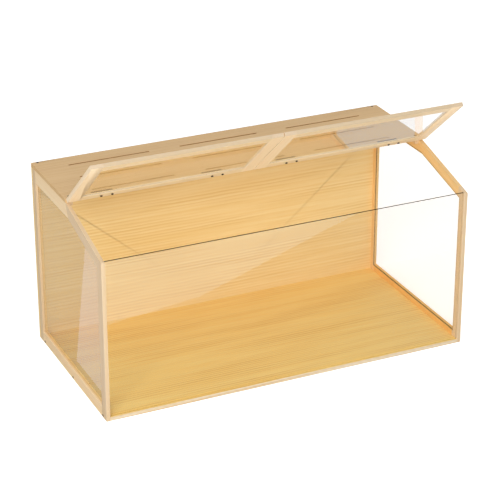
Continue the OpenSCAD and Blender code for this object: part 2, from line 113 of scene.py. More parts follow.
class Grain(Enum):
    """Ways that the grain of a piece runs, with the turns that lay it along X."""

    ALONG = (0.0, 0.0, 0.0)
    ACROSS = (0.0, 0.0, -math.pi / 2)
    UPRIGHT = (0.0, math.pi / 2, 0.0)
    SLOPING = (-ROOF_SLOPE, 0.0, -math.pi / 2)
    DOOR_RAIL = (DOOR_STAND, 0.0, 0.0)
    DOOR_STILE = (DOOR_STAND, 0.0, -math.pi / 2)

    @property
    def turn(self) -> Euler:
        """The turn from the cage's axes to the piece's own."""
        return Euler(self.value, "XYZ")

    @property
    def outward(self) -> Vector:
        """The piece's own axis that points in from its front or free edge."""
        return Vector((1.0, 0.0, 0.0)) if self is Grain.DOOR_STILE else Vector((0.0, 1.0, 0.0))


class Wiring:
    """Adds nodes to one shader tree and joins them."""

    # A Mix node has sockets for every kind of data. These are its share, its two colours and its result
    mix_inputs = (0, 6, 7)
    mix_output = 2

    def __init__(self, tree: bpy.types.NodeTree) -> None:
        """Keeps the tree that the nodes go into."""
        self.tree = tree

    @property
    def surface(self) -> Socket:
        """The socket that takes a material's shader."""
        return self.tree.nodes["Material Output"].inputs["Surface"]

    def add(self, kind: str, **settings: Any) -> bpy.types.Node:
        """Adds one node.

        Args:
            kind: the node's type.
            settings: its properties and their values.

        Returns:
            The new node.
        """
        node = self.tree.nodes.new(kind)
        for name, value in settings.items():
            setattr(node, name, value)
        return node

    def feed(self, socket: Socket, value: Value) -> None:
        """Joins an output to a socket, or sets the socket to a plain value.

        Args:
            socket: the socket to fill.
            value: the output or the plain value.
        """
        if isinstance(value, Socket):
            self.tree.links.new(value, socket)
        else:
            socket.default_value = value

    def fill(self, node: bpy.types.Node, *values: Value) -> Socket:
        """Fills a node's first sockets in their order.

        Args:
            node: the node.
            values: an output or a plain value for each socket.

        Returns:
            The node's first output.
        """
        for socket, value in zip(node.inputs, values):
            self.feed(socket, value)
        return node.outputs[0]

    def maths(self, operation: str, *values: Value) -> Socket:
        """Works out a number from one to three others."""
        return self.fill(self.add("ShaderNodeMath", operation=operation), *values)

    def vectors(self, operation: str, *values: Value) -> Socket:
        """Works out a vector from one or two others."""
        return self.fill(self.add("ShaderNodeVectorMath", operation=operation), *values)

    def both_shaders(self, first: Socket, second: Socket) -> Socket:
        """Adds one shader to another."""
        return self.fill(self.add("ShaderNodeAddShader"), first, second)

    def mix_shaders(self, share: Value, first: Socket, second: Socket) -> Socket:
        """Mixes two shaders by a share of the second."""
        return self.fill(self.add("ShaderNodeMixShader"), share, first, second)

    def split(self, vector: Socket) -> list[Socket]:
        """Splits a vector into its three numbers.

        Args:
            vector: the vector.

        Returns:
            Its parts along X, Y and Z.
        """
        node = self.add("ShaderNodeSeparateXYZ")
        self.feed(node.inputs[0], vector)
        return list(node.outputs)

    def gaps(self, vector: Value, low: Value, high: Value) -> list[Socket]:
        """Works out how deep a place lies inside a box.

        Args:
            vector: the place.
            low: the box's lowest corner.
            high: the box's highest corner.

        Returns:
            How far the nearer side is along X, Y and Z.
        """
        from_low = self.vectors("SUBTRACT", vector, low)
        from_high = self.vectors("SUBTRACT", high, vector)
        return self.split(self.vectors("MINIMUM", from_low, from_high))

    def noise(self, vector: Value, rate: Triple, detail: float, rough: float = 0.5) -> Socket:
        """Reads a noise that is drawn out along some axes.

        Args:
            vector: the place to read it at, in metres.
            rate: how often it changes per metre along each axis.
            detail: how many finer layers it has.
            rough: how strong the finer layers are.

        Returns:
            The noise, from 0 to 1.
        """
        node = self.add("ShaderNodeTexNoise", noise_dimensions="3D")
        self.feed(node.inputs["Vector"], self.vectors("MULTIPLY", vector, Vector(rate)))
        node.inputs["Scale"].default_value = 1.0
        node.inputs["Detail"].default_value = detail
        node.inputs["Roughness"].default_value = rough
        return node.outputs[0]

    def rise(
        self, value: Value, low: Value, high: Value, start: float = 0.0, end: float = 1.0
    ) -> Socket:
        """Rises smoothly from start to end as a value goes from low to high.

        Args:
            value: the value to follow.
            low: where the rise begins.
            high: where it is complete.
            start: the result below low.
            end: the result above high.

        Returns:
            The result.
        """
        node = self.add("ShaderNodeMapRange", interpolation_type="SMOOTHSTEP")
        names = ("Value", "From Min", "From Max", "To Min", "To Max")
        for name, given in zip(names, (value, low, high, start, end)):
            self.feed(node.inputs[name], given)
        return node.outputs[0]

    def fall(self, value: Value, low: Value, high: Value) -> Socket:
        """Falls smoothly from 1 to 0 as a value goes from low to high."""
        return self.rise(value, low, high, 1.0, 0.0)

    def blend(self, share: Value, first: Value, second: Value) -> Socket:
        """Mixes two colours by a share of the second.

        Args:
            share: the share, from 0 to 1.
            first: the colour at 0.
            second: the colour at 1.

        Returns:
            The mixed colour.
        """
        node = self.add("ShaderNodeMix", data_type="RGBA")
        for place, given in zip(self.mix_inputs, (share, first, second)):
            self.feed(node.inputs[place], given)
        return node.outputs[self.mix_output]

    def seen_directly(self) -> Socket:
        """Tells what the camera looks at from what only lights the cage.

        Returns:
            1 for the camera and for what it sees by reflection or through glass, and 0 for other light.
        """
        path = self.add("ShaderNodeLightPath")
        mirrored = self.maths("MAXIMUM", path.outputs["Is Camera Ray"], path.outputs["Is Glossy Ray"])
        return self.maths("MAXIMUM", mirrored, path.outputs["Is Transmission Ray"])


class Effect:
    """A shader effect that several finishes share, kept as one node group."""

    name = "effect"
    inputs: dict[str, str] = {}
    outputs: dict[str, str] = {}

    @classmethod
    def group(cls) -> bpy.types.NodeTree:
        """Gives the effect's node group, which is made the first time.

        Returns:
            The node group.
        """
        found = bpy.data.node_groups.get(cls.name)
        if found is not None:
            return found
        tree = bpy.data.node_groups.new(cls.name, "ShaderNodeTree")
        for way, sockets in (("INPUT", cls.inputs), ("OUTPUT", cls.outputs)):
            for name, kind in sockets.items():
                tree.interface.new_socket(name=name, in_out=way, socket_type="NodeSocket" + kind)
        wiring = Wiring(tree)
        made = cls.draw(wiring, wiring.add("NodeGroupInput").outputs)
        end = wiring.add("NodeGroupOutput")
        for name, socket in made.items():
            wiring.feed(end.inputs[name], socket)
        return tree

    @classmethod
    def draw(cls, wiring: Wiring, given: Any) -> dict[str, Socket]:
        """Draws the effect.

        Args:
            wiring: the group's tree.
            given: the group's inputs by name.

        Returns:
            The group's outputs by name.
        """
        raise NotImplementedError

    @classmethod
    def place(cls, wiring: Wiring, **values: Value) -> Any:
        """Places the effect in a material.

        Args:
            wiring: the material's tree.
            values: a value or a socket for each input, with _ for a space in its name.

        Returns:
            The effect's outputs by name.
        """
        node = wiring.add("ShaderNodeGroup", node_tree=cls.group())
        for name, value in values.items():
            wiring.feed(node.inputs[name.replace("_", " ")], value)
        return node.outputs


class SoftwoodGrain(Effect):
    """Growth lines, fibres and broad tone of a planed board, with its length along the vector's X."""

    name = "softwood_grain"
    inputs = {
        "Vector": "Vector",
        "Pale": "Color",
        "Tan": "Color",
        "Line": "Color",
        "Line Pitch": "Float",
        "Line Strength": "Float",
        "Fibre Strength": "Float",
    }
    outputs = {"Color": "Color", "Lines": "Float", "Height": "Float"}
    # How often each pattern changes per metre, along the board, across it and through it
    drift_rate = (0.8, 6.0, 6.0)
    waver_rate = (7.0, 50.0, 50.0)
    patch_rate = (2.2, 26.0, 26.0)
    streak_rate = (4.0, 150.0, 150.0)
    fibre_rate = (30.0, 1500.0, 1500.0)
    tone_rate = (0.9, 4.5, 4.5)
    # How far the growth lines stray from straight, in lines, over the whole board and from spot to spot
    slow_stray = 4.0
    quick_stray = 0.7
    # Where the dark part of each growth line sets in and where it ends, as shares of the line's pitch
    dark_start = (0.3, 0.8)
    dark_end = (0.8, 1.0)
    # The levels of the noise between which lines come up, tan takes over from pale, and fibres darken
    patch_levels = (0.34, 0.72)
    tan_levels = (0.32, 0.68)
    fibre_levels = (0.5, 0.75)
    # What streaks and broad tone add to the warmth that picks between pale and tan
    streak_share = 0.7
    tone_share = 0.3
    # What fibres and lines add to the height of the surface
    fibre_height = 0.5
    line_height = -0.5

    @classmethod
    def draw(cls, wiring: Wiring, given: Any) -> dict[str, Socket]:
        """Draws the grain.

        Args:
            wiring: the group's tree.
            given: the group's inputs by name.

        Returns:
            The colour, a mask of the growth lines, and the height of the surface.
        """
        place = given["Vector"]
        _, across, through = wiring.split(place)
        straight = wiring.maths("DIVIDE", wiring.maths("ADD", across, through), given["Line Pitch"])
        drift = wiring.noise(place, cls.drift_rate, detail=1.0, rough=0.35)
        waver = wiring.noise(place, cls.waver_rate, detail=2.0)
        bent = wiring.maths("MULTIPLY_ADD", drift, cls.slow_stray, straight)
        depth = wiring.maths("MULTIPLY_ADD", waver, cls.quick_stray, bent)
        ring = wiring.maths("FRACT", depth)
        starting = wiring.rise(ring, *cls.dark_start)
        late = wiring.maths("MULTIPLY", starting, wiring.fall(ring, *cls.dark_end))
        patches = wiring.noise(place, cls.patch_rate, detail=2.0)
        lines = wiring.maths("MULTIPLY", late, wiring.rise(patches, *cls.patch_levels))
        streaks = wiring.noise(place, cls.streak_rate, detail=3.0, rough=0.6)
        fibres = wiring.noise(place, cls.fibre_rate, detail=2.0, rough=0.6)
        tone = wiring.noise(place, cls.tone_rate, detail=2.0)
        broad = wiring.maths("MULTIPLY", tone, cls.tone_share)
        warm = wiring.maths("MULTIPLY_ADD", streaks, cls.streak_share, broad)
        ground = wiring.blend(wiring.rise(warm, *cls.tan_levels), given["Pale"], given["Tan"])
        shown = wiring.maths("MULTIPLY", lines, given["Line Strength"])
        lined = wiring.blend(shown, ground, given["Line"])
        dark = wiring.maths("MULTIPLY", wiring.rise(fibres, *cls.fibre_levels), given["Fibre Strength"])
        sunk = wiring.maths("MULTIPLY", lines, cls.line_height)
        height = wiring.maths("MULTIPLY_ADD", fibres, cls.fibre_height, sunk)
        return {"Color": wiring.blend(dark, lined, given["Line"]), "Lines": lines, "Height": height}


class ArrisWear(Effect):
    """A mask of the rubbed long edges of a squared piece, whose length lies along the vector's X."""

    name = "arris_wear"
    inputs = {"Vector": "Vector", "Low": "Vector", "High": "Vector", "Width": "Float"}
    outputs = {"Mask": "Float"}
    rub_rate = (25.0, 90.0, 90.0)
    rub_levels = (0.3, 0.7)
    # The least and the most of the given width that is rubbed
    reach_shares = (0.35, 1.5)

    @classmethod
    def draw(cls, wiring: Wiring, given: Any) -> dict[str, Socket]:
        """Draws the mask.

        Args:
            wiring: the group's tree.
            given: the group's inputs by name.

        Returns:
            The mask, 1 where the edge is rubbed.
        """
        _, across, through = wiring.gaps(given["Vector"], given["Low"], given["High"])
        gap = wiring.maths("MAXIMUM", across, through)
        rubbed = wiring.noise(given["Vector"], cls.rub_rate, detail=3.0)
        share = wiring.rise(rubbed, *cls.rub_levels, *cls.reach_shares)
        reach = wiring.maths("MULTIPLY", given["Width"], share)
        return {"Mask": wiring.fall(gap, 0.0, reach)}


class OuterEdge(Effect):
    """A mask of the edge at the low end of one of the vector's axes, which Axis points along."""

    name = "outer_edge"
    inputs = {"Vector": "Vector", "Low": "Vector", "Axis": "Vector", "Depth": "Float"}
    outputs = {"Mask": "Float"}
    touch_rate = (12.0, 60.0, 60.0)
    touch_levels = (0.3, 0.7)
    # The least and the most of the given depth that the mask reaches
    reach_shares = (0.8, 1.2)
    # The share of its reach in which the mask is full
    full_share = 0.5

    @classmethod
    def draw(cls, wiring: Wiring, given: Any) -> dict[str, Socket]:
        """Draws the mask.

        Args:
            wiring: the group's tree.
            given: the group's inputs by name.

        Returns:
            The mask, 1 on the edge.
        """
        from_low = wiring.vectors("SUBTRACT", given["Vector"], given["Low"])
        along, across, through = wiring.split(wiring.vectors("MULTIPLY", from_low, given["Axis"]))
        gap = wiring.maths("ADD", wiring.maths("ADD", along, across), through)
        patchy = wiring.noise(given["Vector"], cls.touch_rate, detail=2.0)
        share = wiring.rise(patchy, *cls.touch_levels, *cls.reach_shares)
        reach = wiring.maths("MULTIPLY", given["Depth"], share)
        return {"Mask": wiring.fall(gap, wiring.maths("MULTIPLY", reach, cls.full_share), reach)}


class SlotWalls(Effect):
    """A mask of the upright walls inside a flat board's slots, which get painted shade."""

    name = "slot_walls"
    inputs = {"Vector": "Vector", "Normal": "Vector", "Low": "Vector", "High": "Vector", "Margin": "Float"}
    outputs = {"Mask": "Float"}
    # The normal's upward part below which a face is all wall, and above which it is none
    wall_tilts = (0.3, 0.6)

    @classmethod
    def draw(cls, wiring: Wiring, given: Any) -> dict[str, Socket]:
        """Draws the mask.

        Args:
            wiring: the group's tree.
            given: the group's inputs by name.

        Returns:
            The mask, 1 on the walls.
        """
        along, across, _ = wiring.gaps(given["Vector"], given["Low"], given["High"])
        inside = wiring.maths("GREATER_THAN", wiring.maths("MINIMUM", along, across), given["Margin"])
        _, _, upward = wiring.split(given["Normal"])
        tilt = wiring.maths("ABSOLUTE", upward)
        return {"Mask": wiring.maths("MULTIPLY", inside, wiring.fall(tilt, *cls.wall_tilts))}


class Mottle(Effect):
    """A soft uneven mask, for plated metal and for haze and saw marks on acrylic."""

    name = "mottle"
    inputs = {"Vector": "Vector", "Patch": "Float"}
    outputs = {"Mask": "Float"}
    patch_levels = (0.38, 0.64)

    @classmethod
    def draw(cls, wiring: Wiring, given: Any) -> dict[str, Socket]:
        """Draws the mask.

        Args:
            wiring: the group's tree.
            given: the group's inputs by name.

        Returns:
            The mask, 1 in the middle of a patch.
        """
        often = wiring.maths("DIVIDE", 1.0, given["Patch"])
        scaled = wiring.vectors("MULTIPLY", given["Vector"], often)
        patches = wiring.noise(scaled, (1.0, 1.0, 1.0), detail=4.0, rough=0.6)
        return {"Mask": wiring.rise(patches, *cls.patch_levels)}


def soften(node: bpy.types.Object, radius: float) -> None:
    """Merges a piece's loose faces and breaks its sharp edges.

    Args:
        node: the piece.
        radius: the width of the broken edge.
    """
    weld = node.modifiers.new("one_skin", "WELD")
    weld.merge_threshold = SAME_POINT
    bevel = node.modifiers.new("broken_edges", "BEVEL")
    bevel.width = radius
    bevel.segments = BREAK_STEPS
    bevel.limit_method = "ANGLE"
    bevel.angle_limit = SHARP_TURN
    bevel.use_clamp_overlap = False
    bevel.harden_normals = False


def turned_box(node: bpy.types.Object, turn: Euler) -> tuple[Vector, Vector]:
    """Works out a piece's box on turned axes.

    Args:
        node: the piece.
        turn: the turn from the cage's axes to those.

    Returns:
        The box's lowest and highest corner.
    """
    turned = [turn.to_matrix() @ v.co for v in node.data.vertices]
    low = Vector([min(p[i] for p in turned) for i in range(3)])
    high = Vector([max(p[i] for p in turned) for i in range(3)])
    return low, high


class Finish:
    """What every finish shares: the start of a new material."""

    @staticmethod
    def start(name: str) -> tuple[bpy.types.Material, Wiring, bpy.types.Node, Socket]:
        """Starts a material.

        Args:
            name: the material's name.

        Returns:
            The material, its wiring, its Principled shader and its object coordinates.
        """
        material = bpy.data.materials.new(name)
        material.use_nodes = True
        wiring = Wiring(material.node_tree)
        shader = material.node_tree.nodes["Principled BSDF"]
        place = wiring.add("ShaderNodeTexCoord").outputs["Object"]
        return material, wiring, shader, place


@dataclass(frozen=True)
class Softwood(Finish):
    """Planed softwood with growth lines along its length and rubbed edges."""

    name: str
    pale: Colour
    tan: Colour
    line: Colour
    edge: Colour
    line_pitch: float = 9 * MM
    line_strength: float = 0.5
    fibre_strength: float = 0.22
    # The plain wood's roughness, and how much the growth lines and the rubbed edges change it
    rough: float = 0.5
    line_rough: float = -0.08
    wear_rough: float = 0.06
    # How far the rubbing goes, and how much of the edge's colour shows there
    wear_width: float = 1.1 * MM
    wear_share: float = 0.6
    bump_depth: float = 0.12 * MM
    bump_strength: float = 0.35
    edge_break: float = 0.4 * MM
    # What the colour is multiplied by on the outer edge, and how deep that goes: painted shade on the
    # doors' free edges, and a paler, bluer colour on the floor panel's front edge
    outer_tone: Triple = (1.0, 1.0, 1.0)
    outer_depth: float = 0.6 * MM
    # Whether the board has slots, what the colour is multiplied by on their walls as painted shade,
    # and how far in they lie
    slotted: bool = False
    slot_tone: Triple = (0.55, 0.42, 0.3)
    slot_margin: float = 3 * MM
    # How far apart in the tree one board's number and the next are cut
    board_step: Triple = (1.37, 0.613, 0.291)

    def dress(self, node: bpy.types.Object, grain: Grain, board: int) -> None:
        """Gives a wooden piece its own board of this wood, and breaks its edges.

        Args:
            node: the piece.
            grain: the way that its grain runs.
            board: a number of its own, which picks the part of the tree it comes from.
        """
        material, wiring, shader, place = self.start(f"{self.name}_{node.name}")
        low, high = turned_box(node, grain.turn)
        mapping = wiring.add("ShaderNodeMapping")
        wiring.feed(mapping.inputs["Vector"], place)
        mapping.inputs["Rotation"].default_value = grain.turn
        own = mapping.outputs[0]
        in_tree = wiring.vectors("ADD", own, Vector(self.board_step) * board)
        wood = SoftwoodGrain.place(
            wiring,
            Vector=in_tree,
            Pale=self.pale,
            Tan=self.tan,
            Line=self.line,
            Line_Pitch=self.line_pitch,
            Line_Strength=self.line_strength,
            Fibre_Strength=self.fibre_strength,
        )
        worn = ArrisWear.place(wiring, Vector=own, Low=low, High=high, Width=self.wear_width)["Mask"]
        colour = wiring.blend(wiring.maths("MULTIPLY", worn, self.wear_share), wood["Color"], self.edge)
        # On the doors' free edges this is painted shade; on the floor panel's front edge it makes the
        # colour paler and bluer
        outer = OuterEdge.place(wiring, Vector=own, Low=low, Axis=grain.outward, Depth=self.outer_depth)
        toned = wiring.vectors("MULTIPLY", colour, Vector(self.outer_tone))
        colour = wiring.blend(outer["Mask"], colour, toned)
        if self.slotted:
            normal = wiring.add("ShaderNodeTexCoord").outputs["Normal"]
            margin = self.slot_margin
            walls = SlotWalls.place(wiring, Vector=own, Normal=normal, Low=low, High=high, Margin=margin)
            # Painted shade on the slots' walls
            shaded_walls = wiring.vectors("MULTIPLY", colour, Vector(self.slot_tone))
            colour = wiring.blend(walls["Mask"], colour, shaded_walls)
        wiring.feed(shader.inputs["Base Color"], colour)
        rough = wiring.maths("MULTIPLY_ADD", wood["Lines"], self.line_rough, self.rough)
        wiring.feed(shader.inputs["Roughness"], wiring.maths("MULTIPLY_ADD", worn, self.wear_rough, rough))
        bump = wiring.add("ShaderNodeBump")
        bump.inputs["Strength"].default_value = self.bump_strength
        bump.inputs["Distance"].default_value = self.bump_depth
        wiring.feed(bump.inputs["Height"], wood["Height"])
        wiring.feed(shader.inputs["Normal"], bump.outputs[0])
        node.data.materials[0] = material
        soften(node, self.edge_break)
        LOG.info("%s: %s", node.name, self.name)


@dataclass(frozen=True)
class PlatedSteel(Finish):
    """Dark plated steel, mottled with brighter, rougher patches."""

    name: str
    dark: Colour
    bright: Colour
    # The size of the bright patches, how much of their colour shows, and how much rougher they are
    patch: float = 4 * MM
    bright_share: float = 0.35
    bright_rough: float = 0.16
    rough: float = 0.42
    # The plating is dark and dull, so little of it mirrors the room
    metal: float = 0.25
    gloss: float = 0.25

    def dress(self, node: bpy.types.Object) -> None:
        """Gives a metal piece this finish.

        Args:
            node: the piece.
        """
        material, wiring, shader, place = self.start(f"{self.name}_{node.name}")
        mottled = Mottle.place(wiring, Vector=place, Patch=self.patch)["Mask"]
        share = wiring.maths("MULTIPLY", mottled, self.bright_share)
        wiring.feed(shader.inputs["Base Color"], wiring.blend(share, self.dark, self.bright))
        rough = wiring.maths("MULTIPLY_ADD", mottled, self.bright_rough, self.rough)
        wiring.feed(shader.inputs["Roughness"], rough)
        shader.inputs["Metallic"].default_value = self.metal
        shader.inputs["Specular IOR Level"].default_value = self.gloss
        node.data.materials[0] = material
        LOG.info("%s: %s", node.name, self.name)


@dataclass(frozen=True)
class ClearAcrylic(Finish):
    """Clear cast acrylic sheet: polished faces with a faint haze, and sawn edges painted dark brown as
    painted shade.
    """

    ior: float = 1.49
    # The colour of what is seen through a face, and of the lamps' light that it lets by
    tint: Colour = (0.995, 0.998, 0.997, 1.0)
    let_by: Colour = (0.98, 0.985, 0.98, 1.0)
    # The roughness of the haze and the size of its patches
    haze: float = 0.03
    haze_patch: float = 60 * MM
    # Dark browns of the sawn edges: painted shade standing for the dark look of a clear edge
    edge_dark: Colour = chip(22, 13, 4)
    edge_pale: Colour = chip(50, 34, 16)
    edge_gloss: float = 0.0
    # The roughness of a sawn edge, what the saw's marks add to it, and their size
    edge_rough: float = 0.35
    mark_rough: float = 0.2
    mark_patch: float = 2 * MM

    def face(self, name: str) -> bpy.types.Material:
        """Makes the material of a pane's faces, which lets the lamps light what is behind it.

        Args:
            name: the pane's name.

        Returns:
            The material.
        """
        material, wiring, shader, place = self.start(f"clear_face_{name}")
        shader.inputs["Base Color"].default_value = self.tint
        shader.inputs["Transmission Weight"].default_value = 1.0
        shader.inputs["IOR"].default_value = self.ior
        haze = Mottle.place(wiring, Vector=place, Patch=self.haze_patch)["Mask"]
        wiring.feed(shader.inputs["Roughness"], wiring.maths("MULTIPLY", haze, self.haze))
        path = wiring.add("ShaderNodeLightPath")
        light = wiring.maths("MAXIMUM", path.outputs["Is Shadow Ray"], path.outputs["Is Diffuse Ray"])
        clear = wiring.add("ShaderNodeBsdfTransparent")
        clear.inputs["Color"].default_value = self.let_by
        wiring.feed(wiring.surface, wiring.mix_shaders(light, shader.outputs[0], clear.outputs[0]))
        return material

    def edge(self, name: str) -> bpy.types.Material:
        """Makes the material of a pane's sawn edges, painted dark brown as painted shade.

        Args:
            name: the pane's name.

        Returns:
            The material.
        """
        material, wiring, shader, place = self.start(f"sawn_edge_{name}")
        marks = Mottle.place(wiring, Vector=place, Patch=self.mark_patch)["Mask"]
        wiring.feed(shader.inputs["Base Color"], wiring.blend(marks, self.edge_dark, self.edge_pale))
        rough = wiring.maths("MULTIPLY_ADD", marks, self.mark_rough, self.edge_rough)
        wiring.feed(shader.inputs["Roughness"], rough)
        shader.inputs["Specular IOR Level"].default_value = self.edge_gloss
        return material


FLOOR_BOARD = Softwood(
    name="floor_softwood",
    pale=chip(255, 223, 139),
    tan=chip(253, 212, 122),
    line=chip(230, 173, 82),
    edge=chip(254, 232, 176),
    line_strength=0.9,
    fibre_strength=0.08,
    outer_tone=(0.8, 0.92, 1.9),
)
BACK_BOARD = Softwood(
    name="back_softwood",
    pale=chip(244, 215, 155),
    tan=chip(238, 203, 136),
    line=chip(218, 172, 100),
    edge=chip(246, 224, 176),
    line_strength=0.6,
)
TOP_BOARD = Softwood(
    name="top_softwood",
    pale=chip(227, 191, 138),
    tan=chip(219, 179, 122),
    line=chip(198, 151, 94),
    edge=chip(238, 214, 174),
    slotted=True,
)
FRAME_WOOD = Softwood(
    name="frame_softwood",
    pale=chip(229, 203, 166),
    tan=chip(223, 193, 151),
    line=chip(207, 170, 125),
    edge=chip(234, 213, 182),
    line_strength=0.35,
)
# A warmer copy of the frame wood: painted bounce light on the right frame's inner faces
BOUNCE_LIT_FRAME_WOOD = Softwood(
    name="warm_frame_softwood",
    pale=chip(240, 202, 142),
    tan=chip(234, 190, 124),
    line=chip(216, 164, 98),
    edge=chip(240, 214, 170),
    line_strength=0.35,
)
# A more orange copy of the frame wood: painted bounce light on the right frame's bottom rail
STRONG_BOUNCE_LIT_FRAME_WOOD = Softwood(
    name="amber_frame_softwood",
    pale=chip(244, 196, 112),
    tan=chip(240, 184, 96),
    line=chip(222, 160, 76),
    edge=chip(246, 214, 160),
    line_strength=0.35,
)
# A paler copy of the frame wood: painted light on the left frame's top and bottom rails
EXTRA_LIT_FRAME_WOOD = Softwood(
    name="pale_frame_softwood",
    pale=chip(250, 223, 181),
    tan=chip(246, 214, 167),
    line=chip(232, 192, 142),
    edge=chip(250, 230, 196),
    line_strength=0.35,
)
# Painted shade on the doors' free edges, as what their colour is multiplied by
PAINTED_EDGE_SHADE = (0.72, 0.71, 0.72)
DOOR_WOOD = Softwood(
    name="door_softwood",
    pale=chip(244, 221, 183),
    tan=chip(240, 213, 170),
    line=chip(227, 192, 142),
    edge=chip(245, 229, 202),
    line_strength=0.32,
)
FREE_RAIL_WOOD = replace(DOOR_WOOD, name="free_rail_softwood", outer_tone=PAINTED_EDGE_SHADE)
STILE_WOOD = Softwood(
    name="stile_softwood",
    pale=chip(250, 227, 192),
    tan=chip(248, 221, 182),
    line=chip(236, 203, 158),
    edge=chip(250, 233, 207),
    line_strength=0.32,
    outer_tone=PAINTED_EDGE_SHADE,
)
BEECH = Softwood(
    name="beech",
    pale=chip(222, 184, 138),
    tan=chip(206, 164, 116),
    line=chip(176, 132, 88),
    edge=chip(222, 190, 150),
    line_pitch=2 * MM,
)
BRONZE = PlatedSteel(name="dark_bronze", dark=chip(40, 24, 12), bright=chip(104, 62, 30))
SCREW_STEEL = PlatedSteel(
    name="burnished_steel",
    dark=chip(34, 21, 12),
    bright=chip(88, 56, 30),
    patch=1.5 * MM,
)
ACRYLIC = ClearAcrylic()


def place_shape(
    name: str, shape: bmesh.types.BMesh, *materials: bpy.types.Material
) -> bpy.types.Object:
    """Puts a finished shape in the scene.

    Args:
        name: the new object's name.
        shape: its shape, which is used up.
        materials: its materials in the order of their slots.

    Returns:
        The new object.
    """
    mesh = bpy.data.meshes.new(name)
    shape.to_mesh(mesh)
    shape.free()
    for material in materials:
        mesh.materials.append(material)
    placed = bpy.data.objects.new(name, mesh)
    bpy.context.scene.collection.objects.link(placed)
    return placed


def bare_material(name: str) -> tuple[bpy.types.Material, Wiring]:
    """Starts a material that has no shader yet.

    Args:
        name: the material's name.

    Returns:
        The material and its wiring.
    """
    material = bpy.data.materials.new(name)
    material.use_nodes = True
    tree = material.node_tree
    tree.nodes.remove(tree.nodes["Principled BSDF"])
    return material, Wiring(tree)


@dataclass
class Panels:
    """The floor, back and top panels and the strips under the top panel's ends."""

    nodes: dict[str, bpy.types.Object]
    boards: dict[str, Softwood] = field(
        default_factory=lambda: {
            "floor_panel": FLOOR_BOARD,
            "back_panel": BACK_BOARD,
            "top_panel": TOP_BOARD,
        }
    )
    first_board: int = 1

    def dress(self) -> None:
        """Gives each panel its wood, with the grain along the cage, and each strip its own."""
        for number, (name, wood) in enumerate(self.boards.items(), self.first_board):
            wood.dress(self.nodes[name], Grain.ALONG, number)
        for number, side in enumerate(Side, self.first_board + len(self.boards)):
            FRAME_WOOD.dress(self.nodes[f"{side.word}_top_cleat"], Grain.ACROSS, number)


@dataclass
class SideFrame:
    """The frame at one end of the cage: two posts and three rails on dowels."""

    nodes: dict[str, bpy.types.Object]
    side: Side
    first_board: int
    members: dict[str, Grain] = field(
        default_factory=lambda: {
            "front_post": Grain.UPRIGHT,
            "back_post": Grain.UPRIGHT,
            "bottom_rail": Grain.ACROSS,
            "top_rail": Grain.ACROSS,
            "sloping_rail": Grain.SLOPING,
        }
    )
    # Members given recoloured copies of the frame wood, as painted light
    other_woods: dict[str, Softwood] = field(default_factory=dict)

    def dress(self) -> None:
        """Gives each member its wood, with the grain along the member."""
        for number, (name, grain) in enumerate(self.members.items(), self.first_board):
            wood = self.other_woods.get(name, FRAME_WOOD)
            wood.dress(self.nodes[f"{self.side.word}_{name}"], grain, number)
        BEECH.dress(self.nodes[f"{self.side.word}_frame_dowels"], Grain.ACROSS, self.first_board)
        LOG.info("%s side frame: %d members", self.side.word, len(self.members))


@dataclass
class RoofDoor:
    """The frame of one roof door: two rails and two stiles on dowels."""

    nodes: dict[str, bpy.types.Object]
    side: Side
    first_board: int
    members: dict[str, Grain] = field(
        default_factory=lambda: {
            "hinge_rail": Grain.DOOR_RAIL,
            "free_rail": Grain.DOOR_RAIL,
            "outer_stile": Grain.DOOR_STILE,
            "inner_stile": Grain.DOOR_STILE,
        }
    )
    # Members with a paler wood, or with painted shade on their free edges
    other_woods: dict[str, Softwood] = field(
        default_factory=lambda: {
            "free_rail": FREE_RAIL_WOOD,
            "outer_stile": STILE_WOOD,
            "inner_stile": STILE_WOOD,
        }
    )

    def dress(self) -> None:
        """Gives each member its wood, with the grain along the member."""
        for number, (name, grain) in enumerate(self.members.items(), self.first_board):
            wood = self.other_woods.get(name, DOOR_WOOD)
            wood.dress(self.nodes[f"{self.side.word}_door_{name}"], grain, number)
        BEECH.dress(self.nodes[f"{self.side.word}_door_dowels"], Grain.DOOR_RAIL, self.first_board)
        LOG.info("%s door: %d members", self.side.word, len(self.members))


@dataclass
class Hardware:
    """The butt hinges and every screw and bolt."""

    nodes: dict[str, bpy.types.Object]
    spots: tuple[str, ...] = ("outer", "inner")
    hinge_pieces: tuple[str, ...] = ("fixed_leaf", "moving_leaf", "pin")
    screw_sets: tuple[str, ...] = ("top_panel_screws", "back_panel_screws")
    side_sets: tuple[str, ...] = ("floor_screws", "hinge_screws", "door_bolts", "door_nuts")
    hinge_break: float = 0.2 * MM

    def dress(self) -> None:
        """Gives the hinges their bronze and the screws their steel."""
        for side in Side:
            for spot in self.spots:
                for piece in self.hinge_pieces:
                    node = self.nodes[f"{side.word}_{spot}_hinge_{piece}"]
                    BRONZE.dress(node)
                    soften(node, self.hinge_break)
            for name in self.side_sets:
                SCREW_STEEL.dress(self.nodes[f"{side.word}_{name}"])
        for name in self.screw_sets:
            SCREW_STEEL.dress(self.nodes[name])
        LOG.info("hardware: %d hinges", len(self.spots) * len(Side))


